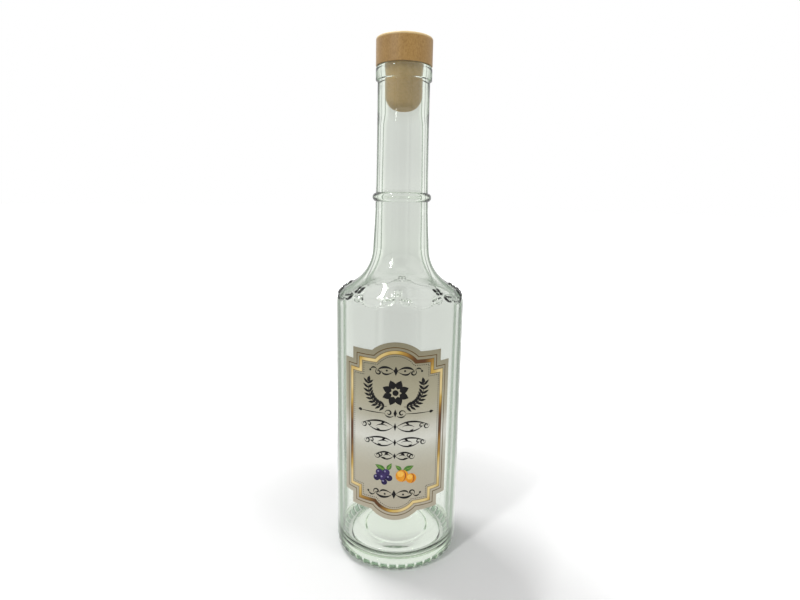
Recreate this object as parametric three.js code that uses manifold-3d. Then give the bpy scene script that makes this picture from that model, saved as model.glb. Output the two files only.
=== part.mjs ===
// A half-litre spirit bottle in clear pressed-and-blown glass, with a stepped and arched front label
// and a bar-top stopper: a turned wooden head glued onto a moulded plug.
// Millimetres, +Z up. The origin is the middle of the base, where the bottle stands.
// The label faces -Y.
import * as THREE from "three";
import { mergeVertices } from "three/addons/utils/BufferGeometryUtils.js";
import Module from "manifold-3d";

// Body
const bodyRadius = 35;
const bodyWall = 2.8;
const shoulderHeight = 144; // where the side starts to curve in
const shoulderRadius = 10; // convex roll of the shoulder
const shoulderSlope = THREE.MathUtils.degToRad(34); // between the roll and the flare, from level

// Neck
const flareRadius = 22.2; // concave sweep from the shoulder to the neck
const neckFootRadius = 15.2; // outside, at the top of the flare
const neckFootWall = 3.9;
const neckRadius = 13.5; // outside, under the lip
const neckTaper = 3.5; // how soon the neck settles to that radius: 1 is an even taper
const neckBoreRadius = 10.7; // inside, below the stopper's seat
const collarHeight = 201; // middle of the raised ring half way up the neck
const collarRadius = 15.7; // outside of that ring
const collarBead = 2.3; // radius of its round section

// Lip
const bottleHeight = 266.3;
const lipRadius = 14.5;
const lipHeight = 7;
const lipUndercut = 0.6; // height of the slope under the lip's straight side
const lipRound = 1.3;
const mouthRound = 0.7;
const seatRadius = 9.9; // bore that the stopper's plug sits in
const seatDepth = 21.5;
const seatOpening = 7; // length over which the seat widens into the neck's bore

// Base
const heelHeight = 7;
const standOuterRadius = 29.8; // the flat ring that the bottle stands on
const standWidth = 2.8;
const puntDepth = 6; // hollow under the base
const puntRise = 2.4; // the punt's first step, at 45 degrees
const puntDiscRadius = 17; // flat disc in the middle of the punt
const puntDiscStep = 0.8;
const floorEdge = 7; // inside floor beside the wall
const floorCrown = 13; // inside floor in the middle
const floorCorner = 6; // radius between the wall and the floor

// Short ribs round the heel
const ribCount = 44;
const ribWidth = 1.3;
const ribRelief = 0.45;
const ribFoot = THREE.MathUtils.degToRad(-76); // where a rib starts and ends on the heel's curve
const ribTop = THREE.MathUtils.degToRad(-16);

// Raised wreath round the shoulder: pairs of leaves with a knot of berries over each pair
const sprayCount = 8;
const reliefSink = 0.25; // how far the middle of a leaf or berry lies under the glass surface
const leafLength = 6.6;
const leafWidth = 4.4;
const leafRelief = 0.8;
const leafDroop = THREE.MathUtils.degToRad(14); // outer ends of a pair hang down
const leafApart = 8.4; // between the middles of a pair, along the shoulder
const leafRoll = THREE.MathUtils.degToRad(40); // how far up the shoulder's roll
const berryDiameter = 2.4;
const berryRelief = 0.7;
const berryApart = 2.3;
const berryRoll = THREE.MathUtils.degToRad(69);

// Label, measured flat before it is wrapped round the body
const labelWidth = 60.8;
const labelHeight = 98;
const labelCentreHeight = 81.4;
const labelSideHeight = 75.6; // the straight outer sides
const labelStep = 6; // width of the step at each corner
const labelShoulderHeight = 88.2; // between the upper and the lower level edges
const labelArchWidth = 25; // chord of the arch at the top and the bottom
const labelThickness = 0.12;
const adhesive = 0.06; // film between glass and label

// Stopper
const headRadius = 14.5;
const headHeight = 13.4;
const headRound = 0.8;
const headFootChamfer = 0.3;
const headGap = 0.12; // between the head and the lip
const plugLength = 20.4; // below the head
const plugClearance = 0.15; // between the plug and its seat, all round
const plugNoseHeight = 7;
const plugNoseFlat = 4.6; // radius of the plug's flat end
const plugTenon = 3; // length glued into the head
const glueGap = 0.1;

// Facets round the bottle and the stopper
const turns = 44;

const quarter = Math.PI / 2;
const wasm = await Module();
wasm.setup();

// Points [radius, height] along an elliptical arc, both ends included.
function arc([radius, height], [radial, vertical], from, to, steps) {
  return Array.from({ length: steps + 1 }, (_, i) => {
    const angle = THREE.MathUtils.lerp(from, to, i / steps);
    return [
      radius + radial * Math.cos(angle),
      height + vertical * Math.sin(angle),
    ];
  });
}

// A solid of revolution about Z, from a profile of [radius, height] points.
function turned(profile) {
  const points = profile.map(([r, z]) => new THREE.Vector2(Math.max(r, 0), z));
  return new THREE.LatheGeometry(points, turns).rotateX(quarter);
}

function solidOf(geometry) {
  const bare = geometry.clone();
  bare.deleteAttribute("normal");
  bare.deleteAttribute("uv");
  const merged = mergeVertices(bare, 1e-4);
  return new wasm.Manifold(
    new wasm.Mesh({
      numProp: 3,
      vertProperties: new Float32Array(merged.attributes.position.array),
      triVerts: new Uint32Array(merged.index.array),
    }),
  );
}

function geometryOf(solid) {
  const mesh = solid.getMesh();
  const geometry = new THREE.BufferGeometry();
  geometry.setAttribute(
    "position",
    new THREE.BufferAttribute(mesh.vertProperties, 3),
  );
  geometry.setIndex(new THREE.BufferAttribute(mesh.triVerts, 1));
  geometry.computeVertexNormals();
  return geometry;
}

// The sweep from the shoulder's slope up to the neck: the centre of its arc, for the glass's outer
// or inner side.
function flareCentre(rollRadius, sweep, footRadius) {
  const slopeRadius = rollCentre + rollRadius * Math.sin(shoulderSlope);
  const slopeHeight = shoulderHeight + rollRadius * Math.cos(shoulderSlope);
  const endRadius = footRadius + sweep * (1 - Math.sin(shoulderSlope));
  const endHeight =
    slopeHeight + (slopeRadius - endRadius) * Math.tan(shoulderSlope);
  return [footRadius + sweep, endHeight + sweep * Math.cos(shoulderSlope)];
}

const rollCentre = bodyRadius - shoulderRadius;
const rollEnd = quarter - shoulderSlope; // angle on the roll where the slope starts
const heelRadius = bodyRadius - standOuterRadius;
const lipFoot = bottleHeight - lipHeight;
const outerFlare = flareCentre(shoulderRadius, flareRadius, neckFootRadius);

// Outside radius of the neck, between the flare's top and the lip.
function neckRadiusAt(height) {
  const neckFoot = outerFlare[1];
  const left = Math.max(0, (lipFoot - height) / (lipFoot - neckFoot));
  return neckRadius + (neckFootRadius - neckRadius) * left ** neckTaper;
}

function underside() {
  const standInner = standOuterRadius - standWidth;
  const rim = standInner - puntRise;
  const disc = puntDiscRadius + puntDiscStep;
  const crown = puntDepth - puntDiscStep;
  return [
    [0, puntDepth],
    [puntDiscRadius, puntDepth],
    ...arc([disc, puntRise], [rim - disc, crown - puntRise], quarter, 0, 3),
    [standInner, 0],
  ];
}

function collar() {
  const centre = collarRadius - collarBead;
  const reach = Math.acos((neckRadiusAt(collarHeight) - centre) / collarBead);
  return arc([centre, collarHeight], [collarBead, collarBead], -reach, reach, 6);
}

function outside() {
  const heel = arc(
    [standOuterRadius, heelHeight],
    [heelRadius, heelHeight],
    -quarter,
    0,
    5,
  );
  const roll = arc(
    [rollCentre, shoulderHeight],
    [shoulderRadius, shoulderRadius],
    0,
    rollEnd,
    5,
  );
  const flare = arc(
    outerFlare,
    [flareRadius, flareRadius],
    rollEnd - Math.PI,
    -Math.PI,
    7,
  );
  const ring = collar();
  const neck = (from, to) => {
    const height = THREE.MathUtils.lerp(from, to, 0.4);
    return [neckRadiusAt(height), height];
  };
  const lip = arc(
    [lipRadius - lipRound, bottleHeight - lipRound],
    [lipRound, lipRound],
    0,
    quarter,
    3,
  );
  return [
    ...heel,
    ...roll,
    ...flare,
    neck(outerFlare[1], collarHeight),
    ...ring,
    neck(collarHeight, lipFoot),
    [neckRadius, lipFoot],
    [lipRadius, lipFoot + lipUndercut],
    ...lip,
  ];
}

function inside() {
  const innerRadius = bodyRadius - bodyWall;
  const innerRoll = shoulderRadius - bodyWall;
  const sweep = flareRadius + neckFootWall;
  const centre = flareCentre(innerRoll, sweep, neckFootRadius - neckFootWall);
  const seatFoot = bottleHeight - seatDepth;
  const floor = innerRadius - floorCorner;
  return [
    ...arc(
      [seatRadius + mouthRound, bottleHeight - mouthRound],
      [mouthRound, mouthRound],
      quarter,
      Math.PI,
      2,
    ),
    [seatRadius, seatFoot],
    [neckBoreRadius, seatFoot - seatOpening],
    ...arc(centre, [sweep, sweep], Math.PI, Math.PI + rollEnd, 6),
    ...arc(
      [rollCentre, shoulderHeight],
      [innerRoll, innerRoll],
      rollEnd,
      0,
      4,
    ),
    ...arc(
      [floor, floorEdge + floorCorner],
      [floorCorner, floorCorner],
      0,
      -quarter,
      4,
    ),
    ...arc([0, floorEdge], [floor, floorCrown - floorEdge], 0.5, quarter, 3),
  ];
}

// A flattened ball with its middle just under the glass, on the shoulder's roll.
function boss([length, width, relief], facets, droop, roll, azimuth) {
  const reach = shoulderRadius - reliefSink;
  return new THREE.SphereGeometry(1, facets, 4)
    .rotateX(quarter)
    .scale(length / 2, width / 2, relief + reliefSink)
    .rotateZ(droop)
    .rotateX(quarter - roll)
    .translate(
      0,
      -rollCentre - reach * Math.cos(roll),
      shoulderHeight + reach * Math.sin(roll),
    )
    .rotateZ(azimuth);
}

function leaf(side, azimuth) {
  const turn =
    leafApart / 2 / (rollCentre + shoulderRadius * Math.cos(leafRoll));
  return boss(
    [leafLength, leafWidth, leafRelief],
    8,
    -side * leafDroop,
    leafRoll,
    azimuth + side * turn,
  );
}

function berry(side, row, azimuth) {
  const turn =
    berryApart / 2 / (rollCentre + shoulderRadius * Math.cos(berryRoll));
  const climb = berryApart / 2 / shoulderRadius;
  return boss(
    [berryDiameter, berryDiameter, berryRelief],
    6,
    0,
    berryRoll + row * climb,
    azimuth + side * turn,
  );
}

function wreath() {
  return Array.from({ length: sprayCount }, (_, i) => {
    const azimuth = (i * 2 * Math.PI) / sprayCount;
    return [-1, 1].flatMap((side) => [
      leaf(side, azimuth),
      berry(side, -1, azimuth),
      berry(side, 1, azimuth),
    ]);
  }).flat();
}

// One rib: the heel's own curve, raised, from a foot to a top that both lie in the glass.
function rib(azimuth) {
  const raised = arc(
    [standOuterRadius, heelHeight],
    [heelRadius + ribRelief, heelHeight + ribRelief],
    THREE.MathUtils.lerp(ribFoot, ribTop, 0.15),
    THREE.MathUtils.lerp(ribFoot, ribTop, 0.85),
    3,
  );
  const [foot, top] = arc(
    [standOuterRadius, heelHeight],
    [heelRadius - ribRelief, heelHeight - ribRelief],
    ribFoot,
    ribTop,
    1,
  );
  const outline = [foot, ...raised, top].map(
    ([r, z]) => new THREE.Vector2(r, z),
  );
  return new THREE.ExtrudeGeometry(new THREE.Shape(outline), {
    depth: ribWidth,
    bevelEnabled: false,
  })
    .rotateX(quarter)
    .translate(0, ribWidth / 2, 0)
    .rotateZ(azimuth - quarter);
}

function ribs() {
  return Array.from({ length: ribCount }, (_, i) =>
    rib(((i + 0.5) * 2 * Math.PI) / ribCount),
  );
}

function glassBottle() {
  const body = solidOf(turned([...underside(), ...outside(), ...inside()]));
  const relief = [...wreath(), ...ribs()].map(solidOf);
  return geometryOf(wasm.Manifold.union([body, ...relief]));
}

// The right half of the label's edge, from the top of its arch to the bottom, as [across, up]
// from the label's middle.
function labelEdge() {
  const side = labelWidth / 2;
  const shoulder = labelShoulderHeight / 2;
  const rise = labelHeight / 2 - shoulder;
  const chord = labelArchWidth / 2;
  const bend = (chord * chord + rise * rise) / (2 * rise);
  const reach = Math.asin(chord / bend);
  const top = [
    ...arc(
      [0, labelHeight / 2 - bend],
      [bend, bend],
      quarter,
      quarter - reach,
      6,
    ),
    [side - labelStep, shoulder],
    [side - labelStep, labelSideHeight / 2],
    [side, labelSideHeight / 2],
  ];
  return [...top, ...top.map(([across, up]) => [across, -up]).reverse()];
}

function frontLabel() {
  const inner = bodyRadius + adhesive;
  const outer = inner + labelThickness;
  const top = labelCentreHeight + labelHeight / 2 + 1;
  const bottom = top - labelHeight - 2;
  const sleeve = turned([
    [inner, bottom],
    [outer, bottom],
    [outer, top],
    [inner, top],
    [inner, bottom],
  ]);
  const right = labelEdge();
  const left = right.map(([across, up]) => [-across, up]).reverse();
  const outline = [...right, ...left.slice(1, -1)].map(
    ([across, up]) =>
      new THREE.Vector2(
        outer * Math.sin(across / bodyRadius),
        labelCentreHeight + up,
      ),
  );
  const cutter = new THREE.ExtrudeGeometry(new THREE.Shape(outline), {
    depth: outer * 1.1,
    bevelEnabled: false,
  }).rotateX(quarter);
  return geometryOf(solidOf(sleeve).intersect(solidOf(cutter)));
}

const plugRadius = seatRadius - plugClearance;
const headFoot = bottleHeight + headGap;

function stopperHead() {
  const top = headFoot + headHeight;
  const socketRadius = plugRadius + glueGap;
  const socketTop = headFoot + plugTenon + glueGap;
  return turned([
    [0, socketTop],
    [socketRadius, socketTop],
    [socketRadius, headFoot],
    [headRadius - headFootChamfer, headFoot],
    [headRadius, headFoot + headFootChamfer],
    ...arc(
      [headRadius - headRound, top - headRound],
      [headRound, headRound],
      0,
      quarter,
      3,
    ),
    [0, top],
  ]);
}

function stopperPlug() {
  const foot = headFoot - plugLength;
  const top = headFoot + plugTenon;
  return turned([
    [0, foot],
    ...arc(
      [plugNoseFlat, foot + plugNoseHeight],
      [plugRadius - plugNoseFlat, plugNoseHeight],
      -quarter,
      0,
      5,
    ),
    [plugRadius, top],
    [0, top],
  ]);
}

function piece(name, geometry, look) {
  const material = new THREE.MeshStandardMaterial(look);
  const mesh = new THREE.Mesh(geometry, material);
  mesh.name = name;
  return mesh;
}

const clearGlass = {
  color: 0xdfe9e2,
  roughness: 0.03,
  metalness: 0,
  transparent: true,
  opacity: 0.35,
};
const satinSilverPaper = { color: 0xb9b3a4, roughness: 0.35, metalness: 0.6 };
const beech = { color: 0xb98a55, roughness: 0.6, metalness: 0 };
const tanPolymer = { color: 0xa88658, roughness: 0.55, metalness: 0 };

const bottle = new THREE.Group();
bottle.add(
  piece("glass_bottle", glassBottle(), clearGlass),
  piece("front_label", frontLabel(), satinSilverPaper),
);
const stopper = new THREE.Group();
stopper.add(
  piece("stopper_head", stopperHead(), beech),
  piece("stopper_plug", stopperPlug(), tanPolymer),
);

const part = new THREE.Group();
part.add(bottle, stopper);

export default part;
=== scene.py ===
# Looks for a clear glass spirit bottle with a shaped front label and a wooden bar-top stopper.
# Lengths are in millimetres until a mesh is made; the frame and Blender are in metres.
import math

import bmesh
import bpy
import numpy as np
from mathutils import Matrix, Vector


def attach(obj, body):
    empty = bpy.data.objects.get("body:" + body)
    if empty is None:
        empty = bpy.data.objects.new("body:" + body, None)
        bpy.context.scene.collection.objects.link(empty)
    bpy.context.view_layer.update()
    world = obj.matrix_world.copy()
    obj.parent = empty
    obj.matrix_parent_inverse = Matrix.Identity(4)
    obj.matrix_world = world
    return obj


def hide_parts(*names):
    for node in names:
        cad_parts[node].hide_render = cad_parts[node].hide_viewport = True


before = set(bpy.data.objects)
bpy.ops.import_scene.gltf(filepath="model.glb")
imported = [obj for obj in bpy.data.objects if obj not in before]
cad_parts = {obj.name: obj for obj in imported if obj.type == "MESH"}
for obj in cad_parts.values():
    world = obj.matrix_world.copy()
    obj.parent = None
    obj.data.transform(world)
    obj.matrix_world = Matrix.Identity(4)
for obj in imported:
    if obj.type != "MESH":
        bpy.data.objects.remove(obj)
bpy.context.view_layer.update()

MM = 0.001
QUARTER = math.pi / 2

# How far a supporting point stands from an edge, a corner, a small round and a long bend
EDGE_EASE = 0.3
CORNER_EASE = 0.4
ROUND_EASE = 0.5
BEND_EASE = 1

# Faces that meet under this angle are shaded as one surface
SMOOTH_UNDER = math.radians(30)
GLASS_SMOOTH_UNDER = math.radians(34)
PRINT_SMOOTH_UNDER = math.radians(40)

# Glass, as the part has it
BODY_RADIUS = 35
BODY_WALL = 2.8
SHOULDER_HEIGHT = 144
SHOULDER_RADIUS = 10
SHOULDER_SLOPE = math.radians(34)
FLARE_RADIUS = 22.2
NECK_FOOT_RADIUS = 15.2
NECK_FOOT_WALL = 3.9
NECK_RADIUS = 13.5
NECK_TAPER = 3.5
NECK_BORE_RADIUS = 10.7
COLLAR_HEIGHT = 201
COLLAR_RADIUS = 15.7
COLLAR_BEAD = 2.3
BOTTLE_HEIGHT = 266.3
LIP_RADIUS = 14.5
LIP_HEIGHT = 7
LIP_ROUND = 1.3
LIP_CHAMFER = 0.2
LIP_FILLET = 0.1
MOUTH_ROUND = 0.7
SEAT_RADIUS = 9.9
SEAT_DEPTH = 21.5
SEAT_OPENING = 7
HEEL_HEIGHT = 7
STAND_OUTER_RADIUS = 29.8
STAND_WIDTH = 2.8
PUNT_DEPTH = 6
PUNT_RISE = 2.4
PUNT_DISC_RADIUS = 17
PUNT_DISC_STEP = 0.8
FLOOR_EDGE = 7
FLOOR_CROWN = 13
FLOOR_CORNER = 6
FLOOR_BLEND = 0.35
GLASS_TURNS = 440
SHORTEST_STEP = 0.01

# Ribs and wreath
RIB_COUNT = 44
RIB_WIDTH = 1.3
RIB_RELIEF = 0.45
RIB_SLANT = math.radians(46)
RIB_REACH = math.radians(30)
# Painted shade on the heel: its height, its edge's half-width, and the wave values off each rib's crest
# where it starts and where it is full
HEEL_SHADE_HEIGHT = 5.4
HEEL_SHADE_EDGE = 0.81
HEEL_SHADE_START = -0.92
HEEL_SHADE_FULL = -0.5
SPRAY_COUNT = 8
LEAF_LENGTH = 6.6
LEAF_WIDTH = 4.4
LEAF_RELIEF = 0.9
LEAF_DROOP = math.radians(14)
LEAF_APART = 8.4
LEAF_ROLL = math.radians(40)
VEIN_DEPTH = 0.45
VEIN_WIDTH = 0.34
SIDE_VEIN_RELIEF = 0.13
SIDE_VEIN_SLANT = 1.1
SIDE_VEIN_WAVE = 4.4
BERRY_RADIUS = 1.2
BERRY_RELIEF = 0.9
BERRY_APART = 2.3
BERRY_ROLL = math.radians(69)
SWAG_BEADS = 9
SWAG_BEAD_RADIUS = 0.75
SWAG_BEAD_RELIEF = 0.5
SWAG_DROP = 2.2
SWAG_END_DROP = 1.4
SWAG_OVERLAP = 1.2
OUTSIDE_SLACK = 0.5

# Label, measured flat from its middle
LABEL_WIDTH = 60.8
LABEL_HEIGHT = 98
LABEL_MIDDLE = 81.4
LABEL_SIDE_HEIGHT = 75.6
LABEL_STEP = 6
LABEL_SHOULDER_HEIGHT = 88.2
LABEL_ARCH_WIDTH = 25
LABEL_THICKNESS = 0.12
ADHESIVE = 0.06
INK_LIFT = 0.012
BAND_OUTER = 4.35
BAND_INNER = 6.15
BAND_EDGE_OUT = 0.15
BAND_EDGE_IN = 0.1
FINE_LINE_OUTER = 2.5
FINE_LINE_INNER = 2.95
DOTS_INSET = 7.2
DOT_PITCH = 1.15
DOT_RADIUS = 0.3
CUT_WIDTH = 1.0
CUT_OFFSET = 0.013
FRUIT_HEIGHT = -22.9

# Stopper
HEAD_GAP = 0.12
HEAD_RADIUS = 14.5
HEAD_HEIGHT = 13.4
HEAD_ROUND = 0.8
HEAD_FOOT_CHAMFER = 0.3
HEAD_FOOT = BOTTLE_HEIGHT + HEAD_GAP
HEAD_TOP = HEAD_FOOT + HEAD_HEIGHT
# Painted highlight round the head's top corner: full within the first distance, gone past the second
RIM_HIGHLIGHT_CORE = 0.4
RIM_HIGHLIGHT_REACH = 1.4
PLUG_LENGTH = 20.4
PLUG_CLEARANCE = 0.15
PLUG_RADIUS = SEAT_RADIUS - PLUG_CLEARANCE
PLUG_NOSE_HEIGHT = 7
PLUG_NOSE_FLAT = 4.6
PLUG_TENON = 3
GLUE_GAP = 0.1
STOPPER_TURNS = 192

# Camera, in metres and degrees from the photograph
PHOTO_WIDTH = 800
FOCAL_PIXELS = 528.9
SENSOR = 36
CAMERA_DISTANCE = 0.2887
CAMERA_HEIGHT = 0.2022
CAMERA_TILT = math.radians(11.22)
CAMERA_ROLL = math.radians(1.03)
LABEL_TURN = math.radians(2.3)

# Glass colours
CLEAR_GLASS = (0.985, 0.99, 0.98)
# Painted shade: the dark streak just inside each outline
PAINTED_EDGE_SHADE = (0.11, 0.18, 0.105)
# Painted shade: the dark band low on the heel
PAINTED_HEEL_SHADE = (0.20, 0.34, 0.22)
GLASS_TINT = (0.60, 0.81, 0.50)
GLASS_DENSITY = 32

# Studio, the floor's sizes in metres
FLOOR_RADIUS = 8.0
FLOOR_DROP = 0.00005
GLOW_SHARE = 0.85
AMBIENT = 0.4
BACK_TONE = 0.72
UPRIGHT_TURN = math.radians(38)
UPRIGHT_TONE = 0.35
UPRIGHT_CORE = 0.035
UPRIGHT_REACH = 0.06


# Profiles

def arc(centre, radii, start, end, steps):
    angles = np.linspace(start, end, steps + 1)
    return [(centre[0] + radii[0] * math.cos(a), centre[1] + radii[1] * math.sin(a)) for a in angles]


def line(start, end, steps):
    shares = np.linspace(0, 1, steps + 1)
    return [(start[0] + (end[0] - start[0]) * s, start[1] + (end[1] - start[1]) * s) for s in shares]


def flare_centre(roll_radius, sweep, foot_radius):
    slope_radius = ROLL_CENTRE + roll_radius * math.sin(SHOULDER_SLOPE)
    slope_height = SHOULDER_HEIGHT + roll_radius * math.cos(SHOULDER_SLOPE)
    end_radius = foot_radius + sweep * (1 - math.sin(SHOULDER_SLOPE))
    end_height = slope_height + (slope_radius - end_radius) * math.tan(SHOULDER_SLOPE)
    return foot_radius + sweep, end_height + sweep * math.cos(SHOULDER_SLOPE)


ROLL_CENTRE = BODY_RADIUS - SHOULDER_RADIUS
ROLL_END = QUARTER - SHOULDER_SLOPE
HEEL_RADIUS = BODY_RADIUS - STAND_OUTER_RADIUS
LIP_FOOT = BOTTLE_HEIGHT - LIP_HEIGHT
OUTER_FLARE = flare_centre(SHOULDER_RADIUS, FLARE_RADIUS, NECK_FOOT_RADIUS)


def neck_radius_at(height):
    left = max(0, (LIP_FOOT - height) / (LIP_FOOT - OUTER_FLARE[1]))
    return NECK_RADIUS + (NECK_FOOT_RADIUS - NECK_RADIUS) * left ** NECK_TAPER


def neck_line(low, high, steps):
    return [(neck_radius_at(z), z) for z in np.linspace(low, high, steps + 1)]


def underside():
    stand_inner = STAND_OUTER_RADIUS - STAND_WIDTH
    rim = stand_inner - PUNT_RISE
    disc = PUNT_DISC_RADIUS + PUNT_DISC_STEP
    crown = PUNT_DEPTH - PUNT_DISC_STEP
    return [
        *line((0, PUNT_DEPTH), (PUNT_DISC_RADIUS, PUNT_DEPTH), 4),
        *arc((disc, PUNT_RISE), (rim - disc, crown - PUNT_RISE), QUARTER, 0, 10),
        *line((rim + EDGE_EASE, PUNT_RISE - CORNER_EASE), (stand_inner - EDGE_EASE, EDGE_EASE), 2),
        (stand_inner, 0),
    ]


def outside():
    ring = COLLAR_RADIUS - COLLAR_BEAD
    reach = math.acos((neck_radius_at(COLLAR_HEIGHT) - ring) / COLLAR_BEAD)
    collar_top = COLLAR_HEIGHT + COLLAR_BEAD * math.sin(reach)
    collar_foot = COLLAR_HEIGHT - COLLAR_BEAD * math.sin(reach)
    slope_start = (
        ROLL_CENTRE + SHOULDER_RADIUS * math.cos(ROLL_END),
        SHOULDER_HEIGHT + SHOULDER_RADIUS * math.sin(ROLL_END),
    )
    flare = arc(OUTER_FLARE, (FLARE_RADIUS, FLARE_RADIUS), ROLL_END - math.pi, -math.pi, 22)
    lip_edge = LIP_FOOT + EDGE_EASE
    return [
        *arc((STAND_OUTER_RADIUS, HEEL_HEIGHT), (HEEL_RADIUS, HEEL_HEIGHT), -QUARTER, 0, 20),
        *line((BODY_RADIUS, HEEL_HEIGHT + BEND_EASE), (BODY_RADIUS, SHOULDER_HEIGHT - BEND_EASE), 2),
        *arc((ROLL_CENTRE, SHOULDER_HEIGHT), (SHOULDER_RADIUS, SHOULDER_RADIUS), 0, ROLL_END, 26),
        *line(slope_start, flare[0], 9)[1:-1],
        *flare,
        *neck_line(OUTER_FLARE[1], collar_foot - ROUND_EASE, 6)[1:],
        *arc((ring, COLLAR_HEIGHT), (COLLAR_BEAD, COLLAR_BEAD), -reach, reach, 16),
        *neck_line(collar_top + ROUND_EASE, LIP_FOOT - CORNER_EASE, 6),
        (NECK_RADIUS + LIP_FILLET, LIP_FOOT),
        *line((LIP_RADIUS - LIP_CHAMFER, lip_edge), (LIP_RADIUS, lip_edge + CORNER_EASE), 2),
        *arc((LIP_RADIUS - LIP_ROUND, BOTTLE_HEIGHT - LIP_ROUND), (LIP_ROUND, LIP_ROUND), 0, QUARTER, 8),
    ]


def inside():
    inner_radius = BODY_RADIUS - BODY_WALL
    inner_roll = SHOULDER_RADIUS - BODY_WALL
    sweep = FLARE_RADIUS + NECK_FOOT_WALL
    centre = flare_centre(inner_roll, sweep, NECK_FOOT_RADIUS - NECK_FOOT_WALL)
    mouth = (SEAT_RADIUS + MOUTH_ROUND, BOTTLE_HEIGHT - MOUTH_ROUND)
    seat_foot = BOTTLE_HEIGHT - SEAT_DEPTH
    floor = inner_radius - FLOOR_CORNER
    corner_top = FLOOR_EDGE + FLOOR_CORNER
    crown = (floor, FLOOR_CROWN - FLOOR_EDGE)
    return [
        *arc(mouth, (MOUTH_ROUND, MOUTH_ROUND), QUARTER, math.pi, 5),
        *line((SEAT_RADIUS, seat_foot), (NECK_BORE_RADIUS, seat_foot - SEAT_OPENING), 4),
        *arc(centre, (sweep, sweep), math.pi, math.pi + ROLL_END, 18),
        *arc((ROLL_CENTRE, SHOULDER_HEIGHT), (inner_roll, inner_roll), ROLL_END, 0, 10),
        *line((inner_radius, SHOULDER_HEIGHT - BEND_EASE), (inner_radius, corner_top + BEND_EASE), 2),
        *arc((floor, corner_top), (FLOOR_CORNER, FLOOR_CORNER), 0, -QUARTER, 12),
        *arc((0, FLOOR_EDGE), crown, FLOOR_BLEND, QUARTER, 8),
    ]


# Meshes

def mesh_object(name, vertices, faces, smooth_under):
    mesh = bpy.data.meshes.new(name)
    mesh.from_pydata([tuple(v) for v in vertices], [], faces)
    mesh.update()
    turned_out = bmesh.new()
    turned_out.from_mesh(mesh)
    bmesh.ops.recalc_face_normals(turned_out, faces=turned_out.faces)
    turned_out.to_mesh(mesh)
    turned_out.free()
    mesh.shade_smooth()
    mesh.set_sharp_from_angle(angle=smooth_under)
    obj = bpy.data.objects.new(name, mesh)
    bpy.context.collection.objects.link(obj)
    return obj


def revolve(name, profile, turns, lift=None, smooth_under=SMOOTH_UNDER):
    # The profile runs from the axis round to the axis. lift gives the relief along the profile's normal.
    radius, height = np.array(profile, float).T
    along = np.gradient(np.array([radius, height]), axis=1)
    normal = np.array([along[1], -along[0]]) / np.maximum(np.hypot(*along), 1e-9)
    angle = np.arange(turns) * 2 * math.pi / turns
    raised = lift(radius, height, angle) if lift else np.zeros((len(radius), turns))
    r = radius[:, None] + normal[0][:, None] * raised
    z = height[:, None] + normal[1][:, None] * raised
    x = r * np.sin(angle)
    y = -r * np.cos(angle)
    ring_points = np.stack([x, y, np.broadcast_to(z, x.shape)], axis=-1)[1:-1] * MM
    vertices = [(0, 0, height[0] * MM), (0, 0, height[-1] * MM), *ring_points.reshape(-1, 3).tolist()]
    rings = len(radius) - 2
    faces = []
    for j in range(turns):
        k = (j + 1) % turns
        faces.append((0, 2 + k, 2 + j))
        faces.append((1, 2 + (rings - 1) * turns + j, 2 + (rings - 1) * turns + k))
        for i in range(rings - 1):
            low = 2 + i * turns
            high = low + turns
            faces.append((low + j, low + k, high + k, high + j))
    return mesh_object(name, vertices, faces, smooth_under)


# Relief on the glass

def dome(distance, radius):
    return np.sqrt(np.clip(1 - (distance / radius) ** 2, 0, 1))


def leaf_relief(u, v, side):
    # a runs along the leaf from its middle, b across it.
    turned = -side * LEAF_DROOP
    out = u - side * LEAF_APART / 2
    a = out * math.cos(turned) + v * math.sin(turned)
    b = v * math.cos(turned) - out * math.sin(turned)
    share = np.clip(a / (LEAF_LENGTH / 2), -1, 1)
    half_width = LEAF_WIDTH / 2 * (1 - share ** 2) ** 0.75 + 1e-6
    blade = dome(b, half_width) ** 0.5 * LEAF_RELIEF * (np.abs(a) < LEAF_LENGTH / 2)
    vein = VEIN_DEPTH * np.exp(-(b / VEIN_WIDTH) ** 2) * (blade > 0.2)
    slanted = np.abs(b) * SIDE_VEIN_SLANT - side * a
    side_veins = SIDE_VEIN_RELIEF * np.cos(slanted * SIDE_VEIN_WAVE) * (blade > 0.3)
    return np.clip(blade - vein + side_veins, 0, None)


def wreath_relief(radius, height, angle):
    # u runs round the bottle from the nearest spray and gap from the nearest place between two sprays.
    # roll is the turn up the shoulder's curve.
    roll = np.arctan2(height - SHOULDER_HEIGHT, radius - ROLL_CENTRE)[:, None]
    pitch = 2 * math.pi / SPRAY_COUNT
    near = (angle + pitch / 2) % pitch - pitch / 2
    between = angle % pitch - pitch / 2
    u = near[None, :] * radius[:, None]
    gap = between[None, :] * radius[:, None]
    leaf_v = (roll - LEAF_ROLL) * SHOULDER_RADIUS
    berry_v = (roll - BERRY_ROLL) * SHOULDER_RADIUS
    total = np.maximum(leaf_relief(u, leaf_v, -1), leaf_relief(u, leaf_v, 1))
    for du in (-1, 1):
        for dv in (-1, 1):
            distance = np.hypot(u - du * BERRY_APART / 2, berry_v - dv * BERRY_APART / 2)
            total = np.maximum(total, BERRY_RELIEF * dome(distance, BERRY_RADIUS))
    leaf_ring = ROLL_CENTRE + SHOULDER_RADIUS * math.cos(LEAF_ROLL)
    reach = (pitch * leaf_ring - LEAF_APART - LEAF_LENGTH) / 2 + SWAG_OVERLAP
    for share in np.linspace(-1, 1, SWAG_BEADS):
        drop = SWAG_DROP * (1 - share ** 2) + SWAG_END_DROP
        distance = np.hypot(gap - share * reach, leaf_v + drop)
        total = np.maximum(total, SWAG_BEAD_RELIEF * dome(distance, SWAG_BEAD_RADIUS))
    on_outside = np.hypot(radius - ROLL_CENTRE, height - SHOULDER_HEIGHT) > SHOULDER_RADIUS - OUTSIDE_SLACK
    return total * ((roll > 0) & (roll < QUARTER) & on_outside[:, None])


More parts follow.
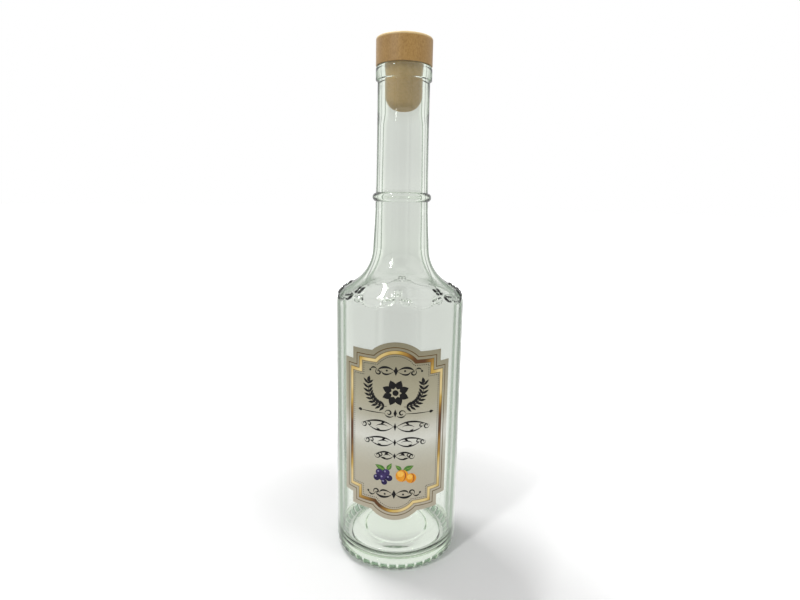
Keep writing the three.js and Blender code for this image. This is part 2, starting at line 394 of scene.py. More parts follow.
def rib_relief(radius, height, angle):
    slant = np.arctan2((height - HEEL_HEIGHT) / HEEL_HEIGHT, (radius - STAND_OUTER_RADIUS) / HEEL_RADIUS)
    pitch = 2 * math.pi / RIB_COUNT
    across = ((angle % pitch) - pitch / 2)[None, :] * radius[:, None]
    along = dome(slant + RIB_SLANT, RIB_REACH)[:, None]
    on_heel = (height < HEEL_HEIGHT) & (radius >= STAND_OUTER_RADIUS)
    return RIB_RELIEF * dome(across, RIB_WIDTH / 2) ** 0.6 * along * on_heel[:, None]


def glass_relief(radius, height, angle):
    return wreath_relief(radius, height, angle) + rib_relief(radius, height, angle)


# Materials

def new_material(name):
    material = bpy.data.materials.new(name)
    material.use_nodes = True
    tree = material.node_tree
    return material, tree.nodes, tree.links, tree.nodes["Principled BSDF"]


def grey(tone):
    return (tone, tone, tone)


def add_node(nodes, kind, **values):
    node = nodes.new(kind)
    for key, value in values.items():
        setattr(node, key, value)
    return node


def feed(links, slot, value):
    # Links a socket to the slot, or sets the slot to a number or an opaque colour.
    if isinstance(value, bpy.types.NodeSocket):
        links.new(value, slot)
    elif isinstance(value, tuple):
        slot.default_value = (*value, 1)
    else:
        slot.default_value = value


def maths(nodes, links, operation, *values):
    node = add_node(nodes, "ShaderNodeMath", operation=operation)
    for slot, value in zip(node.inputs, values):
        feed(links, slot, value)
    return node.outputs["Value"]


def mixed(nodes, links, factor, first, second, blend_type="MIX"):
    node = add_node(nodes, "ShaderNodeMix", data_type="RGBA", blend_type=blend_type)
    feed(links, node.inputs["Factor"], factor)
    feed(links, node.inputs["A"], first)
    feed(links, node.inputs["B"], second)
    return node.outputs["Result"]


def ramp(nodes, links, value, stops):
    # Each stop is a place and a colour, in rising order.
    node = nodes.new("ShaderNodeValToRGB")
    elements = node.color_ramp.elements
    for element, (place, colour) in zip(elements, (stops[0], stops[-1])):
        element.position = place
        element.color = (*colour, 1)
    for place, colour in stops[1:-1]:
        elements.new(place).color = (*colour, 1)
    links.new(value, node.inputs["Fac"])
    return node.outputs["Color"]


def fraction(nodes, links, value, start, end, interpolation="LINEAR"):
    # 0 at start and before it, 1 at end and past it.
    node = add_node(nodes, "ShaderNodeMapRange", interpolation_type=interpolation)
    node.inputs["From Min"].default_value = start
    node.inputs["From Max"].default_value = end
    links.new(value, node.inputs["Value"])
    return node.outputs["Result"]


def noise(nodes, links, vector, scale, detail=2.0, roughness=0.5):
    node = nodes.new("ShaderNodeTexNoise")
    node.inputs["Scale"].default_value = scale
    node.inputs["Detail"].default_value = detail
    node.inputs["Roughness"].default_value = roughness
    links.new(vector, node.inputs["Vector"])
    return node.outputs["Fac"]


def add_bump(nodes, links, shader, height, strength, distance):
    bump = nodes.new("ShaderNodeBump")
    bump.inputs["Strength"].default_value = strength
    bump.inputs["Distance"].default_value = distance * MM
    links.new(height, bump.inputs["Height"])
    links.new(bump.outputs["Normal"], shader.inputs["Normal"])


def object_place(nodes):
    return nodes.new("ShaderNodeTexCoord").outputs["Object"]


def separate(nodes, links, vector):
    node = nodes.new("ShaderNodeSeparateXYZ")
    links.new(vector, node.inputs["Vector"])
    return node.outputs["X"], node.outputs["Y"], node.outputs["Z"]


def axis_distance(nodes, links, vector):
    # How far a place is from the bottle's axis.
    flat = add_node(nodes, "ShaderNodeVectorMath", operation="MULTIPLY")
    flat.inputs[1].default_value = (1, 1, 0)
    links.new(vector, flat.inputs[0])
    length = add_node(nodes, "ShaderNodeVectorMath", operation="LENGTH")
    links.new(flat.outputs["Vector"], length.inputs[0])
    return length.outputs["Value"]


def painted_heel_shade(nodes, links):
    # Painted shade: 1 low on the heel's outside, where the thick glass looks dark, and 0 on the ribs'
    # crests.
    # The wave turns as the ribs do and is -1 on each crest.
    place = object_place(nodes)
    x, y, z = separate(nodes, links, place)
    top = (HEEL_SHADE_HEIGHT + HEEL_SHADE_EDGE) * MM
    low = fraction(nodes, links, z, top, (HEEL_SHADE_HEIGHT - HEEL_SHADE_EDGE) * MM, "SMOOTHSTEP")
    radius = axis_distance(nodes, links, place)
    edge = STAND_OUTER_RADIUS * MM
    outer = fraction(nodes, links, radius, edge, edge + MM, "SMOOTHSTEP")
    turn = maths(nodes, links, "ARCTAN2", x, maths(nodes, links, "MULTIPLY", y, -1))
    wave = maths(nodes, links, "COSINE", maths(nodes, links, "MULTIPLY", turn, RIB_COUNT))
    groove = fraction(nodes, links, wave, HEEL_SHADE_START, HEEL_SHADE_FULL, "SMOOTHSTEP")
    return maths(nodes, links, "MULTIPLY", maths(nodes, links, "MULTIPLY", low, outer), groove)


def glass_material():
    # Clear with a green volume, painted shade as a dark streak just inside each outline and painted shade
    # as a dark band on the heel.
    material, nodes, links, shader = new_material("clear_flint_glass")
    # Painted shade: where the surface slants away from the view the colour turns dark, a streak just inside
    # each outline.
    slant = nodes.new("ShaderNodeLayerWeight")
    slant.inputs["Blend"].default_value = 0.5
    with_edge_shade = ramp(nodes, links, slant.outputs["Facing"], [
        (0.0, CLEAR_GLASS),
        (0.59, CLEAR_GLASS),
        (0.68, PAINTED_EDGE_SHADE),
        (0.76, PAINTED_EDGE_SHADE),
        (0.87, CLEAR_GLASS),
        (1.0, CLEAR_GLASS),
    ])
    # Painted shade on the heel darkens the glass colour there.
    colour = mixed(nodes, links, painted_heel_shade(nodes, links), with_edge_shade, PAINTED_HEEL_SHADE, "MULTIPLY")
    links.new(colour, shader.inputs["Base Color"])
    shader.inputs["Roughness"].default_value = 0.0
    shader.inputs["IOR"].default_value = 1.5
    shader.inputs["Transmission Weight"].default_value = 1.0
    tint = nodes.new("ShaderNodeVolumeAbsorption")
    tint.inputs["Color"].default_value = (*GLASS_TINT, 1)
    tint.inputs["Density"].default_value = GLASS_DENSITY
    links.new(tint.outputs["Volume"], nodes["Material Output"].inputs["Volume"])
    return material


def paper_material():
    # The label's silver grey, with painted reflection over its height: a bright band a little below the
    # middle and darkest at the top, and the paper's fine fibre.
    material, nodes, links, shader = new_material("metallised_paper")
    place = object_place(nodes)
    height = separate(nodes, links, place)[2]
    foot = (LABEL_MIDDLE - LABEL_HEIGHT / 2) * MM
    share = fraction(nodes, links, height, foot, foot + LABEL_HEIGHT * MM)
    # Painted reflection: the tone changes with height, brightest a little below the middle and darkest at
    # the top.
    tone = ramp(nodes, links, share, [
        (0.0, (0.46, 0.41, 0.31)),
        (0.30, (0.49, 0.46, 0.36)),
        (0.40, (0.56, 0.55, 0.46)),
        (0.47, (0.70, 0.70, 0.63)),
        (0.53, (0.62, 0.61, 0.53)),
        (0.60, (0.47, 0.45, 0.35)),
        (0.70, (0.42, 0.39, 0.275)),
        (1.0, (0.25, 0.225, 0.145)),
    ])
    fibre = noise(nodes, links, place, 1400, 5)
    speckle = ramp(nodes, links, fibre, [(0.35, (0.93, 0.93, 0.92)), (0.65, grey(1.0))])
    links.new(mixed(nodes, links, 1, tone, speckle, "MULTIPLY"), shader.inputs["Base Color"])
    add_bump(nodes, links, shader, fibre, 0.06, 0.1)
    shader.inputs["Metallic"].default_value = 0.3
    shader.inputs["Roughness"].default_value = 0.4
    return material


def foil_material():
    # Slanting bands that run from dark bronze to pale gold.
    material, nodes, links, shader = new_material("gold_print")
    slant = nodes.new("ShaderNodeMapping")
    slant.inputs["Rotation"].default_value = (0, math.radians(-38), 0)
    links.new(object_place(nodes), slant.inputs["Vector"])
    wave = add_node(nodes, "ShaderNodeTexWave", bands_direction="X", wave_profile="SIN")
    wave.inputs["Scale"].default_value = 9.5
    wave.inputs["Distortion"].default_value = 1.2
    wave.inputs["Detail Scale"].default_value = 10
    links.new(slant.outputs["Vector"], wave.inputs["Vector"])
    tone = ramp(nodes, links, wave.outputs["Fac"], [
        (0.05, (0.10, 0.035, 0.006)),
        (0.35, (0.33, 0.17, 0.025)),
        (0.65, (0.56, 0.36, 0.07)),
        (0.98, (0.74, 0.58, 0.26)),
    ])
    links.new(tone, shader.inputs["Base Color"])
    shader.inputs["Metallic"].default_value = 0.3
    shader.inputs["Roughness"].default_value = 0.35
    return material


def ink_material(name, colour, shade):
    # Ink that takes a little unevenly.
    material, nodes, links, shader = new_material(name)
    grain = noise(nodes, links, object_place(nodes), 700)
    links.new(ramp(nodes, links, grain, [(0.35, shade), (0.65, colour)]), shader.inputs["Base Color"])
    shader.inputs["Roughness"].default_value = 0.55
    shader.inputs["Specular IOR Level"].default_value = 0.2
    return material


def painted_rim_highlight(nodes, links, place):
    # Painted highlight: 1 at the stopper head's top corner, 0 a little way from it.
    section = nodes.new("ShaderNodeCombineXYZ")
    links.new(axis_distance(nodes, links, place), section.inputs["X"])
    links.new(separate(nodes, links, place)[2], section.inputs["Z"])
    corner = add_node(nodes, "ShaderNodeVectorMath", operation="DISTANCE")
    corner.inputs[1].default_value = (HEAD_RADIUS * MM, 0, HEAD_TOP * MM)
    links.new(section.outputs["Vector"], corner.inputs[0])
    return fraction(nodes, links, corner.outputs["Value"], RIM_HIGHLIGHT_REACH * MM, RIM_HIGHLIGHT_CORE * MM)


def wood_material():
    # Short flecks that run with the grain, broad clouds of tone and a painted highlight that makes the top
    # edge paler.
    material, nodes, links, shader = new_material("turned_beech")
    place = object_place(nodes)
    stretch = nodes.new("ShaderNodeMapping")
    stretch.inputs["Scale"].default_value = (1.0, 1.0, 0.5)
    links.new(place, stretch.inputs["Vector"])
    grain = noise(nodes, links, stretch.outputs["Vector"], 1700, 4, 0.6)
    cloud = noise(nodes, links, stretch.outputs["Vector"], 190, 3)
    fine = ramp(nodes, links, grain, [
        (0.30, (0.25, 0.135, 0.032)),
        (0.50, (0.33, 0.188, 0.050)),
        (0.72, (0.39, 0.238, 0.074)),
    ])
    broad = ramp(nodes, links, cloud, [(0.35, (0.91, 0.89, 0.84)), (0.65, grey(1.0))])
    turned = mixed(nodes, links, 1, fine, broad, "MULTIPLY")
    # Painted highlight: the top corner turns pale cream.
    colour = mixed(nodes, links, painted_rim_highlight(nodes, links, place), turned, (0.80, 0.62, 0.32))
    links.new(colour, shader.inputs["Base Color"])
    add_bump(nodes, links, shader, grain, 0.3, 0.2)
    shader.inputs["Roughness"].default_value = 0.5
    shader.inputs["Sheen Weight"].default_value = 0.2
    return material


def plug_material():
    # A foam of fine cells.
    material, nodes, links, shader = new_material("foamed_polymer")
    cells = noise(nodes, links, object_place(nodes), 900, 4)
    tone = ramp(nodes, links, cells, [(0.3, (0.52, 0.325, 0.115)), (0.7, (0.62, 0.41, 0.17))])
    links.new(tone, shader.inputs["Base Color"])
    add_bump(nodes, links, shader, cells, 0.2, 0.1)
    shader.inputs["Roughness"].default_value = 0.6
    return material


# Label

def label_outline(inset, arch_steps=24):
    side = LABEL_WIDTH / 2 - inset
    step = side - LABEL_STEP
    shoulder = LABEL_SHOULDER_HEIGHT / 2
    rise = LABEL_HEIGHT / 2 - shoulder
    chord = LABEL_ARCH_WIDTH / 2
    bend = (chord ** 2 + rise ** 2) / (2 * rise)
    crown = LABEL_HEIGHT / 2 - bend
    level = shoulder - inset
    reach = math.acos((level - crown) / (bend - inset))
    right = [
        *arc((0, crown), (bend - inset, bend - inset), QUARTER, QUARTER - reach, arch_steps),
        (step, level),
        (step, LABEL_SIDE_HEIGHT / 2 - inset),
        (side, LABEL_SIDE_HEIGHT / 2 - inset),
    ]
    right += [(u, -v) for u, v in reversed(right)]
    left = [(-u, v) for u, v in reversed(right)]
    return right + left[1:-1]


def wrapped(u, v, lift):
    radius = BODY_RADIUS + ADHESIVE + lift
    turn = u / BODY_RADIUS
    return Vector((radius * math.sin(turn), -radius * math.cos(turn), LABEL_MIDDLE + v)) * MM


def cut_into_strips(flat):
    # Cuts flat faces into upright strips, so that they can bend round the bottle. The offset keeps each cut
    # clear of drawn points.
    reach = math.ceil(LABEL_WIDTH / 2)
    for cut in np.arange(-reach, reach + CUT_WIDTH, CUT_WIDTH):
        geometry = [*flat.verts, *flat.edges, *flat.faces]
        place = (cut + CUT_OFFSET, 0, 0)
        bmesh.ops.bisect_plane(flat, geom=geometry, plane_co=place, plane_no=(1, 0, 0), dist=1e-5)


def print_object(name, polygons, lift, thickness=0.0):
    # Flat polygons of (u, v) points, wrapped onto the bottle at a height above the adhesive.
    flat = bmesh.new()
    for polygon in polygons:
        flat.faces.new([flat.verts.new((u, v, 0)) for u, v in polygon])
    bmesh.ops.remove_doubles(flat, verts=flat.verts, dist=1e-4)
    bmesh.ops.triangulate(flat, faces=[f for f in flat.faces if len(f.verts) > 4])
    cut_into_strips(flat)
    bmesh.ops.recalc_face_normals(flat, faces=flat.faces)
    for face in flat.faces:
        if face.normal.z < 0:
            face.normal_flip()
    if thickness:
        made = bmesh.ops.extrude_face_region(flat, geom=list(flat.faces), use_keep_orig=True)
        for element in made["geom"]:
            if isinstance(element, bmesh.types.BMVert):
                element.co.z = thickness
        bmesh.ops.recalc_face_normals(flat, faces=flat.faces)
    for vertex in flat.verts:
        vertex.co = wrapped(vertex.co.x, vertex.co.y, lift + vertex.co.z)
    mesh = bpy.data.meshes.new(name)
    flat.to_mesh(mesh)
    flat.free()
    mesh.shade_smooth()
    mesh.set_sharp_from_angle(angle=PRINT_SMOOTH_UNDER)
    obj = bpy.data.objects.new(name, mesh)
    bpy.context.collection.objects.link(obj)
    return obj


def frame_band(outer, inner):
    a = label_outline(outer)
    b = label_outline(inner)
    count = len(a)
    return [(a[i], a[(i + 1) % count], b[(i + 1) % count], b[i]) for i in range(count)]


def disc(u, v, radius, sides=8):
    turns = [2 * math.pi * i / sides for i in range(sides)]
    return [(u + radius * math.cos(t), v + radius * math.sin(t)) for t in turns]


def dotted_frame(inset, pitch, radius):
    outline = label_outline(inset)
    outline.append(outline[0])
    dots = []
    left = 0.0
    for (u0, v0), (u1, v1) in zip(outline, outline[1:]):
        length = math.hypot(u1 - u0, v1 - v0)
        place = left
        while place < length:
            share = place / length
            dots.append(disc(u0 + (u1 - u0) * share, v0 + (v1 - v0) * share, radius, 6))
            place += pitch
        left = place - length
    return dots


def curve(a, b, c, d, steps=18):
    points = []
    for t in np.linspace(0, 1, steps + 1):
        w = ((1 - t) ** 3, 3 * t * (1 - t) ** 2, 3 * t * t * (1 - t), t ** 3)
        points.append(tuple(sum(k * p[i] for k, p in zip(w, (a, b, c, d))) for i in (0, 1)))
    return points


def spiral(centre, radius, start, turns, steps=22, tightness=0.18):
    points = []
    for t in np.linspace(0, 1, steps + 1):
        r = radius * (1 - t * (1 - tightness))
        angle = start + turns * 2 * math.pi * t
        points.append((centre[0] + r * math.cos(angle), centre[1] + r * math.sin(angle)))
    return points


def stroke(points, thick, thin=0.1, swell=0.5):
    # A pen stroke along points, widest at the share swell of its length.
    points = np.array(points, float)
    along = np.gradient(points, axis=0)
    along /= np.maximum(np.linalg.norm(along, axis=1, keepdims=True), 1e-9)
    across = np.stack([-along[:, 1], along[:, 0]], axis=1)
    share = np.linspace(0, 1, len(points))
    bulge = np.where(share < swell, share / swell, (1 - share) / (1 - swell))
    half = (thin + (thick - thin) * np.sin(bulge * QUARTER) ** 1.5)[:, None] / 2
    left = points + across * half
    right = points - across * half
    return [
        (tuple(left[i]), tuple(left[i + 1]), tuple(right[i + 1]), tuple(right[i]))
        for i in range(len(points) - 1)
    ]


def mirrored(polygons):
    return [*polygons, *[[(-u, v) for u, v in reversed(polygon)] for polygon in polygons]]


def moved(polygons, du=0, dv=0, scale=1.0, flip=1):
    return [[(u * scale + du, v * scale * flip + dv) for u, v in polygon] for polygon in polygons]


def lozenge(u, v, width, height):
    return [(u - width / 2, v), (u, v - height / 2), (u + width / 2, v), (u, v + height / 2)]


def petal(base, tip, width, steps=8):
    base = Vector(base)
    tip = Vector(tip)
    along = tip - base
    across = Vector((-along.y, along.x)).normalized() * width / 2
    shares = np.linspace(0, 1, steps + 1)
    left = [base + along * s + across * math.sin(math.pi * s ** 0.8) for s in shares]
    right = [base + along * s - across * math.sin(math.pi * s ** 0.8) for s in reversed(shares[1:-1])]
    return [tuple(p) for p in left + right]


def scroll_divider():
    half = [
        *stroke(curve((0.8, 0), (4, 2.9), (8, 2.0), (9.6, -0.4)), 1.25, 0.2),
        *stroke(spiral((8.9, -0.9), 1.7, 0.9, -1.1), 0.85, 0.25),
        *stroke(curve((1.2, -0.4), (4.6, -2.9), (7, -2.0), (7.4, -0.2)), 0.95, 0.2),
        *stroke(curve((9.8, 0.4), (11, 1.9), (12.6, 1.4), (13.2, 0)), 0.8, 0.2),
        disc(13.4, -0.3, 0.6),
        disc(4.6, 0.1, 0.55),
    ]
    return [*mirrored(half), lozenge(0, 0, 2.2, 5.0)]


def arrow_divider():
    half = [
        *stroke([(5.2 + 0.7 * i, 0) for i in range(20)], 0.5, 0.26),
        petal((18.0, 0), (20.7, 0), 1.6),
        *stroke(spiral((3.4, 0.2), 1.9, 0.2, 0.95), 0.85, 0.25),
        *stroke(curve((0.8, -1.2), (2.4, -2.5), (4.4, -2.0), (5.4, -0.4)), 0.8, 0.2),
    ]
    return [*mirrored(half), lozenge(0, 0.2, 1.8, 4.4)]


def rosette(radius, count=8):
    petals = []
    for i in range(count):
        turn = 2 * math.pi * (i + 0.5) / count
        way = Vector((math.cos(turn), math.sin(turn)))
        petals.append(petal(way * radius * 0.3, way * radius, radius * 0.52))
    return [*petals, disc(0, 0, radius * 0.22, 14)]


def laurel():
    # A spray of leaves on a bowed stem, from the middle out to the right.
    stem = curve((4.4, -7.4), (10.4, -8.2), (15.2, -3.2), (14.6, 4.6), 27)
    leaves = []
    for i in range(2, 27, 3):
        (u0, v0), (u1, v1) = stem[i], stem[i + 1]
        way = Vector((u1 - u0, v1 - v0)).normalized()
        side = Vector((-way.y, way.x))
        for sign in (-1, 1):
            tip = Vector((u0, v0)) + way * 2.5 + side * sign * 2.9
            leaves.append(petal((u0, v0), tuple(tip), 1.35))
    leaves.append(petal(stem[-1], (13.8, 8.0), 1.9))
    return [*stroke(stem, 0.6, 0.3), *leaves]


def swash(reach, height, thick):
    # One row of pen work: two crossing waves that end in curls, with leaves between them.
    def at(across, up):
        return (reach * across, height * up)

    upper = curve(at(0, -0.2), at(0.3, 1.5), at(0.65, 1.1), at(1, 0), 30)
    lower = curve(at(0, 0.3), at(0.25, -1.4), at(0.6, -1), (reach * 0.82, 0.2), 30)
    inner = curve(at(0.2, 0), at(0.32, 0.5), at(0.45, 0.4), (reach * 0.55, -0.3))
    half = [
        *stroke(upper, thick),
        *stroke(spiral((reach - 1.7, -0.2), 1.7, 0.1, -1.2, 24), thick * 0.8, 0.16),
        *stroke(lower, thick * 0.85),
        *stroke(spiral((reach * 0.82 - 1.3, 0.3), 1.3, 0.0, 1.1, 20), thick * 0.7, 0.16),
        *stroke(inner, thick * 0.7),
        petal(at(0.28, 0.9), (reach * 0.28 + 2.4, height * 0.35), 1.1),
        petal(at(0.40, -0.95), (reach * 0.40 + 2.4, -height * 0.4), 1.1),
    ]
    return [*mirrored(half), lozenge(0, 0, 1.5, height * 1.5)]


def fruit_pieces():
    # A sprig of berries and two apricots, as shapes with the name of their ink, from the lowest print up.
    # A fruit is its middle and its radius, a leaf its base, its tip, its width and its vein's end.
    back_berries = [(-7.9, 0.9, 2.0), (-4.3, 1.1, 2.0), (-6.1, -1.9, 2.0)]
    front_berries = [(-2.7, -1.9, 1.8), (-9.3, -2.2, 1.8), (-5.2, -4.4, 1.6)]
    back_apricot = (4.1, -0.4, 3.4)
    front_apricot = (8.9, -2.0, 2.8)
    leaves = [
        ((-4.6, 2.4), (-10.2, 5.0), 3.0, (-9.6, 4.7)),
        ((-3.8, 2.4), (-1.4, 6.6), 2.4, (-1.6, 6.0)),
        ((3.8, 2.6), (0.6, 5.6), 2.2, (1.0, 5.2)),
        ((4.6, 2.6), (10.2, 5.0), 3.0, (9.6, 4.7)),
    ]
    veins = []
    for base, tip, width, end in leaves:
        veins += stroke([base, end], 0.3, 0.2)
    shine = [disc(u - 0.55, v + 0.6, 0.5, 12) for u, v, r in [*back_berries, *front_berries]]
    glow = []
    crease = []
    for u, v, r in (back_apricot, front_apricot):
        glow.append(disc(u - 0.25 * r, v + 0.3 * r, 0.5 * r, 20))
        bend = curve((u + 0.1, v + r), (u + 0.75 * r, v + 0.5 * r), (u + 0.7 * r, v - 0.5 * r), (u, v - r))
        crease += stroke(bend, 0.5, 0.2)
    return {
        "fruit_leaves": ([petal(base, tip, width) for base, tip, width, end in leaves], "leaf"),
        "fruit_veins": (veins, "vein"),
        "fruit_berries_under": ([disc(*berry, 22) for berry in back_berries], "berry"),
        "fruit_berries_over": ([disc(*berry, 22) for berry in front_berries], "berry_dark"),
        "fruit_shine": (shine, "pale"),
        "fruit_apricots": ([disc(*back_apricot, 30)], "apricot"),
        "fruit_apricot_over": ([disc(*front_apricot, 28)], "apricot"),
        "fruit_glow": (glow, "glow"),
        "fruit_crease": (crease, "blush"),
    }


def black_print():
    return [
        *moved(scroll_divider(), dv=34.0),
        *moved([*mirrored(laurel()), *rosette(7.2)], dv=22.4),
        *moved(arrow_divider(), dv=11.2),
        *moved(swash(18.4, 3.0, 1.0), dv=4.0),
        *moved(swash(16.6, 2.6, 0.95), dv=-4.6),
        *moved(swash(10.6, 2.2, 0.9), dv=-12.2),
        *moved(scroll_divider(), dv=-34.0, scale=1.05, flip=-1),
    ]


def fruit_inks():
    # Each ink is a full tone and a slightly deeper one.
    tones = {
        "leaf": ("leaf_ink", (0.10, 0.24, 0.05), (0.05, 0.14, 0.03)),
        "berry": ("berry_ink", (0.055, 0.035, 0.13), (0.03, 0.02, 0.08)),
        "berry_dark": ("dark_berry_ink", (0.028, 0.018, 0.075), (0.015, 0.010, 0.045)),
        "vein": ("vein_ink", (0.30, 0.45, 0.10), (0.24, 0.38, 0.08)),
        "pale": ("shine_ink", (0.30, 0.28, 0.45), (0.24, 0.22, 0.38)),
        "apricot": ("apricot_ink", (0.78, 0.33, 0.03), (0.68, 0.25, 0.02)),
        "glow": ("glow_ink", (0.88, 0.52, 0.10), (0.82, 0.44, 0.07)),
        "blush": ("blush_ink", (0.30, 0.06, 0.03), (0.24, 0.04, 0.02)),
    }
    return {use: ink_material(*tone) for use, tone in tones.items()}


def build_sheet():
    # The paper, printed on the side that faces out.
    sheet = print_object("label_sheet", [label_outline(0)], 0, LABEL_THICKNESS)
    sheet.data.materials.append(paper_material())
    sheet.data.materials.append(ink_material("plain_paper", (0.66, 0.65, 0.62), (0.60, 0.59, 0.56)))
    for face in sheet.data.polygons:
        outward = Vector((face.center.x, face.center.y, 0)).normalized()
        face.material_index = int(face.normal.dot(outward) < -0.5)
    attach(sheet, "bottle")
    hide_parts("front_label")


def build_print():
    # Each print is its shapes, its material and its level above the paper.
    foil = foil_material()
    ink = ink_material("black_ink", (0.010, 0.009, 0.009), (0.005, 0.005, 0.005))
    bronze = ink_material("bronze_ink", (0.13, 0.075, 0.022), (0.09, 0.045, 0.012))
    edges = [
        *frame_band(BAND_OUTER - BAND_EDGE_OUT, BAND_OUTER + BAND_EDGE_IN),
        *frame_band(BAND_INNER - BAND_EDGE_IN, BAND_INNER + BAND_EDGE_OUT),
    ]
    prints = [
        ("label_gold_band", frame_band(BAND_OUTER, BAND_INNER), foil, 1),
        ("label_band_edges", edges, bronze, 2),
        ("label_fine_line", frame_band(FINE_LINE_OUTER, FINE_LINE_INNER), bronze, 1),
        ("label_dots", dotted_frame(DOTS_INSET, DOT_PITCH, DOT_RADIUS), ink, 1),
        ("label_ornament", black_print(), ink, 1),
    ]
    inks = fruit_inks()
    for level, (name, (shapes, use)) in enumerate(fruit_pieces().items(), 1):
        prints.append((name, moved(shapes, dv=FRUIT_HEIGHT), inks[use], level))
    for name, polygons, material, level in prints:
        piece = print_object(name, polygons, LABEL_THICKNESS + INK_LIFT * level)
        piece.data.materials.append(material)
        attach(piece, "bottle")


# Pieces

def build_glass():
    points = [*underside(), *outside(), *inside()]
    profile = [p for i, p in enumerate(points) if i == 0 or math.dist(p, points[i - 1]) > SHORTEST_STEP]
    profile[-1] = (0, profile[-1][1])
    bottle = revolve("bottle_glass", profile, GLASS_TURNS, glass_relief, GLASS_SMOOTH_UNDER)
    bottle.data.materials.append(glass_material())
    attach(bottle, "bottle")
    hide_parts("glass_bottle")


def build_head():
    socket = PLUG_RADIUS + GLUE_GAP
    socket_top = HEAD_FOOT + PLUG_TENON + GLUE_GAP
    rim = HEAD_RADIUS - HEAD_ROUND
    head = revolve("turned_head", [
        (0, socket_top),
        (socket, socket_top),
        (socket, HEAD_FOOT),
        *line((socket + EDGE_EASE, HEAD_FOOT), (HEAD_RADIUS - HEAD_FOOT_CHAMFER, HEAD_FOOT), 3),
        (HEAD_RADIUS, HEAD_FOOT + HEAD_FOOT_CHAMFER),
        *line((HEAD_RADIUS, HEAD_FOOT + BEND_EASE), (HEAD_RADIUS, HEAD_TOP - HEAD_ROUND - ROUND_EASE), 6),
        *arc((rim, HEAD_TOP - HEAD_ROUND), (HEAD_ROUND, HEAD_ROUND), 0, QUARTER, 8),
        *line((rim - ROUND_EASE, HEAD_TOP), (0, HEAD_TOP), 6),
    ], STOPPER_TURNS)
    head.data.materials.append(wood_material())
    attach(head, "stopper")
    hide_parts("stopper_head")


def build_plug():
    nose = HEAD_FOOT - PLUG_LENGTH
    nose_top = nose + PLUG_NOSE_HEIGHT
    top = HEAD_FOOT + PLUG_TENON
    plug = revolve("moulded_plug", [
        *line((0, nose), (PLUG_NOSE_FLAT - EDGE_EASE, nose), 2),
        *arc((PLUG_NOSE_FLAT, nose_top), (PLUG_RADIUS - PLUG_NOSE_FLAT, PLUG_NOSE_HEIGHT), -QUARTER, 0, 18),
        *line((PLUG_RADIUS, nose_top + ROUND_EASE), (PLUG_RADIUS, top), 4),
        (0, top),
    ], STOPPER_TURNS)
    plug.data.materials.append(plug_material())
    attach(plug, "stopper")
    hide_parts("stopper_plug")


# Studio

def surroundings(nodes, links, x, y):
    # Tone round the studio: grey behind and in front, a slim darker upright beside each, white between.
    # It follows a wave from 0 at the sides to 1 behind and in front.
    turn = maths(nodes, links, "ARCTAN2", x, y)
    wave = maths(nodes, links, "COSINE", maths(nodes, links, "MULTIPLY", turn, 2))
    upright = (1 + math.cos(2 * UPRIGHT_TURN)) / 2
    return ramp(nodes, links, fraction(nodes, links, wave, -1, 1), [
        (0.0, grey(1.0)),
        (upright - UPRIGHT_REACH, grey(1.0)),
        (upright - UPRIGHT_CORE, grey(UPRIGHT_TONE)),
        (upright + UPRIGHT_CORE, grey(UPRIGHT_TONE)),
        (upright + UPRIGHT_REACH, grey(1.0)),
        (0.80, grey(1.0)),
        (0.93, grey(BACK_TONE)),
    ])


def ray_kinds(nodes, links):
    # 1 for rays from the camera, and 1 for reflected or refracted rays.
    path = nodes.new("ShaderNodeLightPath")
    kinds = (path.outputs["Is Glossy Ray"], path.outputs["Is Transmission Ray"])
    return path.outputs["Is Camera Ray"], maths(nodes, links, "MAXIMUM", *kinds)


def floor_in_glass(nodes, links, place, away):
    # The floor as the glass shows it: shaded under the heel, pale round it, then the studio's own tones.
    x, y = separate(nodes, links, place)[:2]
    tone = ramp(nodes, links, away, [
        (0.0, grey(0.95)),
        (0.025, grey(0.95)),
        (0.029, grey(0.5)),
        (0.033, grey(0.5)),
        (0.038, grey(0.95)),
        (0.14, grey(0.95)),
        (0.36, grey(0.90)),
        (0.60, grey(0.90)),
        (1.0, grey(1.0)),
    ])
    far = fraction(nodes, links, away, 0.09, 0.13, "SMOOTHSTEP")
    studio = mixed(nodes, links, far, grey(1.0), surroundings(nodes, links, x, y))
    return mixed(nodes, links, 1, tone, studio, "MULTIPLY")


def build_floor():
    # Far from the bottle the floor turns into the white backdrop for the camera.
    bpy.ops.mesh.primitive_circle_add(
        vertices=96, radius=FLOOR_RADIUS, fill_type="NGON", location=(0, 0, -FLOOR_DROP)
    )
    floor = bpy.context.object
    floor.name = "studio_floor"
    material, nodes, links, shader = new_material("pale_floor")
    nodes.remove(shader)
    place = object_place(nodes)
    away = axis_distance(nodes, links, place)
    camera_ray, glass_ray = ray_kinds(nodes, links)
    white = nodes.new("ShaderNodeEmission")
    fade = fraction(nodes, links, away, 0.06, 0.32, "SMOOTHSTEP")
    links.new(maths(nodes, links, "MULTIPLY", fade, camera_ray), white.inputs["Strength"])
    diffuse = nodes.new("ShaderNodeBsdfDiffuse")
    diffuse.inputs["Color"].default_value = (*grey(0.88), 1)
    lit = nodes.new("ShaderNodeAddShader")
    links.new(diffuse.outputs["BSDF"], lit.inputs[0])
    links.new(white.outputs["Emission"], lit.inputs[1])
    glow = nodes.new("ShaderNodeEmission")
    links.new(floor_in_glass(nodes, links, place, away), glow.inputs["Color"])
    blend = nodes.new("ShaderNodeMixShader")
    links.new(maths(nodes, links, "MULTIPLY", glass_ray, GLOW_SHARE), blend.inputs["Fac"])
    links.new(lit.outputs["Shader"], blend.inputs[1])
    links.new(glow.outputs["Emission"], blend.inputs[2])
    links.new(blend.outputs["Shader"], nodes["Material Output"].inputs["Surface"])
    floor.data.materials.append(material)


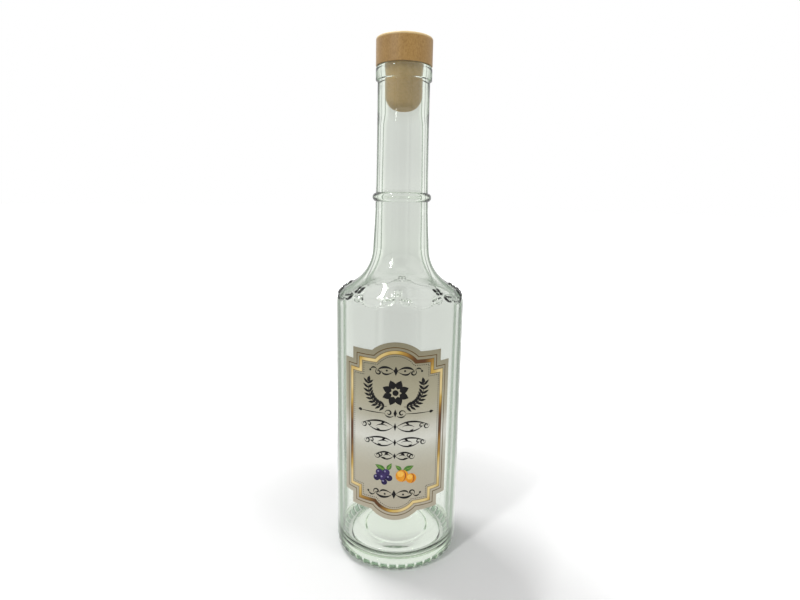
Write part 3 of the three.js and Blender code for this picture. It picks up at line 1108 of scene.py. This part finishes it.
def build_world():
    # White for the camera, the studio's tones for the glass, a plain ambient level for all else.
    world = bpy.data.worlds.new("studio")
    bpy.context.scene.world = world
    world.use_nodes = True
    nodes = world.node_tree.nodes
    links = world.node_tree.links
    x, y, z = separate(nodes, links, nodes.new("ShaderNodeTexCoord").outputs["Generated"])
    sky = ramp(nodes, links, z, [(0.0, grey(1.0)), (0.12, grey(0.92)), (0.45, grey(1.0)), (1.0, grey(1.1))])
    studio = mixed(nodes, links, 1, sky, surroundings(nodes, links, x, y), "MULTIPLY")
    camera_ray, glass_ray = ray_kinds(nodes, links)
    other = mixed(nodes, links, glass_ray, grey(AMBIENT), studio)
    links.new(mixed(nodes, links, camera_ray, other, grey(1.0)), nodes["Background"].inputs["Color"])


def add_lamp(name, place, target, size, power):
    data = bpy.data.lights.new(name, "AREA")
    data.shape = "RECTANGLE"
    data.size, data.size_y = size
    data.energy = power
    lamp = bpy.data.objects.new(name, data)
    lamp.location = place
    lamp.rotation_euler = (Vector(target) - Vector(place)).to_track_quat("-Z", "Y").to_euler()
    bpy.context.collection.objects.link(lamp)
    return lamp


def build_lamps():
    add_lamp("key", (-0.6, -0.75, 0.75), (0, 0, 0.12), (0.11, 0.3), 4.2)
    fill = add_lamp("fill", (0.7, -0.45, 0.5), (0, 0, 0.12), (0.3, 0.4), 2.2)
    fill.visible_glossy = False
    fill.visible_transmission = False
    add_lamp("top", (-0.34, 0.26, 1.25), (0, 0, 0.0), (0.34, 0.07), 8.0)


def build_camera():
    data = bpy.data.cameras.new("camera")
    data.sensor_width = SENSOR
    data.lens = SENSOR * FOCAL_PIXELS / PHOTO_WIDTH
    data.clip_start = 0.01
    camera = bpy.data.objects.new("camera", data)
    turn = Matrix.Rotation(LABEL_TURN, 4, "Z")
    place = turn @ Vector((0, -CAMERA_DISTANCE, CAMERA_HEIGHT))
    aim = turn @ Matrix.Rotation(QUARTER - CAMERA_TILT, 4, "X") @ Matrix.Rotation(CAMERA_ROLL, 4, "Z")
    camera.matrix_world = Matrix.Translation(place) @ aim
    bpy.context.collection.objects.link(camera)
    bpy.context.scene.camera = camera


build_camera()
build_glass()
build_sheet()
build_print()
build_head()
build_plug()
build_floor()
build_world()
build_lamps()
bpy.context.scene.view_settings.view_transform = "Standard"

bpy.context.view_layer.update()
